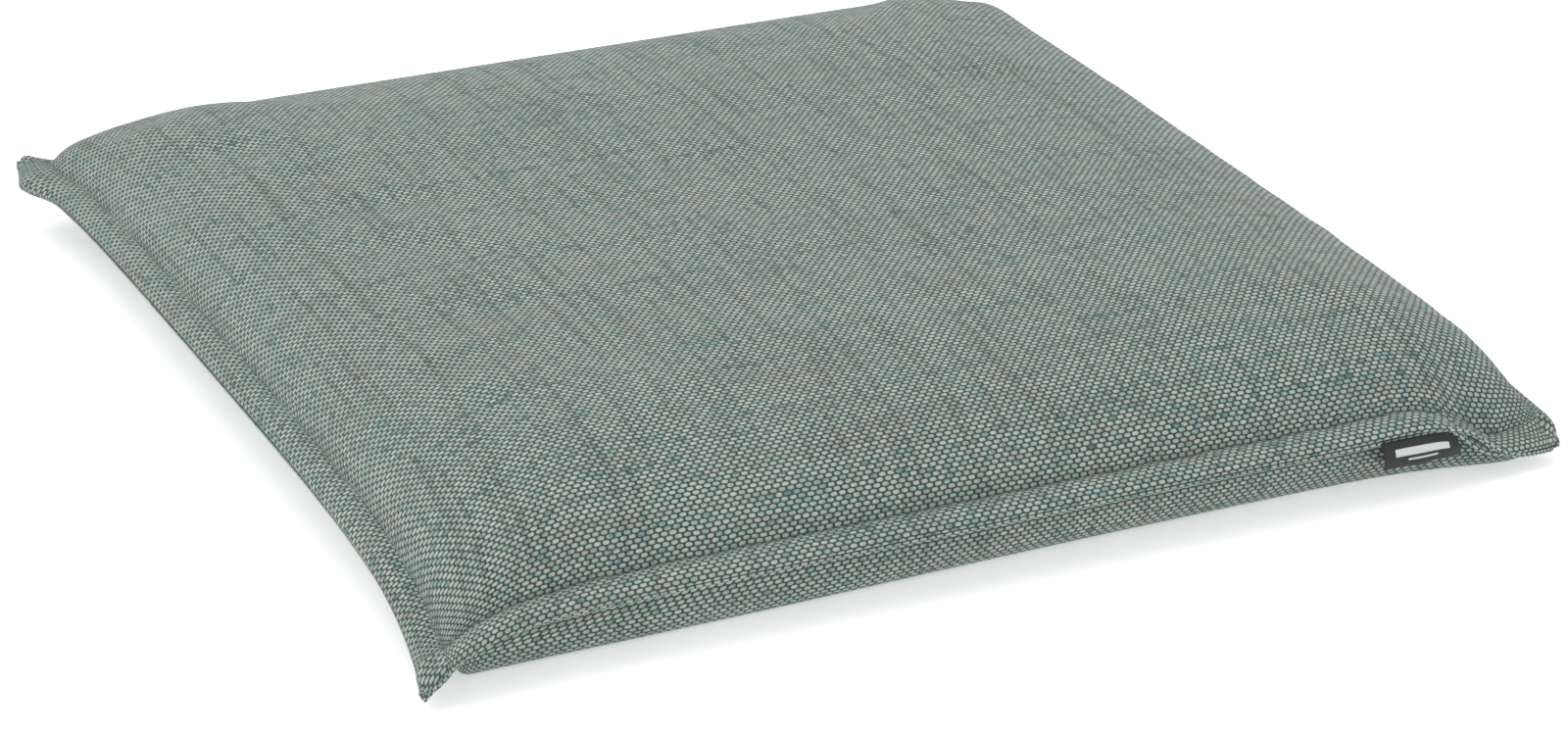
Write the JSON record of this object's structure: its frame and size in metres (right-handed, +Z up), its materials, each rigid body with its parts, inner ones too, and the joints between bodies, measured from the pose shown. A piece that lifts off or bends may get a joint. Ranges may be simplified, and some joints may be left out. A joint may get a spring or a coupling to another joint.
{
  "type": "chair seat pad",
  "caption": "Square knife-edge seat pad with topstitched flange, soft corner ears, foam and wadding filling, side label and a hidden coil zip under the rear edge.",
  "frame": {"origin": "centre of the flat underside, on the surface the pad lies on, midway between the ear tips", "axes": "+Z up through the crown, -Y towards the front edge that carries the side label, +X to the right"},
  "size_m": [0.4802, 0.4801, 0.064],
  "materials": {
    "tweed_cloth": "woven tweed, matte",
    "sewing_thread": "spun polyester thread",
    "casing_cloth": "plain non-woven",
    "wadding": "lofty fibre",
    "foam": "open-cell foam",
    "label_cloth": "woven satin label",
    "zip_tape": "herringbone tape",
    "zip_nylon": "moulded nylon",
    "zip_metal": "satin lacquered die-cast"
  },
  "bodies": {
    "cushion": {"cover_top_panel": "tweed_cloth", "cover_bottom_panel": "tweed_cloth", "cover_bottom_strip": "tweed_cloth", "liner_top": "casing_cloth", "liner_bottom": "casing_cloth", "wadding_top": "wadding", "wadding_bottom": "wadding", "foam_core": "foam", "topstitch_needle_thread": "sewing_thread", "topstitch_bobbin_thread": "sewing_thread", "edge_seam_thread": "sewing_thread", "side_label": "label_cloth", "zip_tape_front": "zip_tape", "zip_tape_rear": "zip_tape", "zip_coil_front": "zip_nylon", "zip_coil_rear": "zip_nylon", "zip_top_stop": "zip_metal", "zip_bottom_stop": "zip_metal", "zip_stitch_front": "sewing_thread", "zip_stitch_rear": "sewing_thread", "zip_bartack_left": "sewing_thread", "zip_bartack_right": "sewing_thread"},
    "slider": {"zip_slider_body": "zip_metal", "zip_slider_back_plate": "zip_metal"},
    "puller": {"zip_puller": "zip_metal"}
  },
  "joints": [
    {"name": "zip_slide", "type": "slide", "parent": "cushion", "child": "slider", "axis": [-1, 0, 0], "range_m": [0, 0.34]},
    {"name": "puller_hinge", "type": "hinge", "parent": "slider", "child": "puller", "pos_m": [0.17, 0.20688, 0.00829], "axis": [0, -0.7765, -0.6302], "range_deg": [-14, 166]}
  ]
}
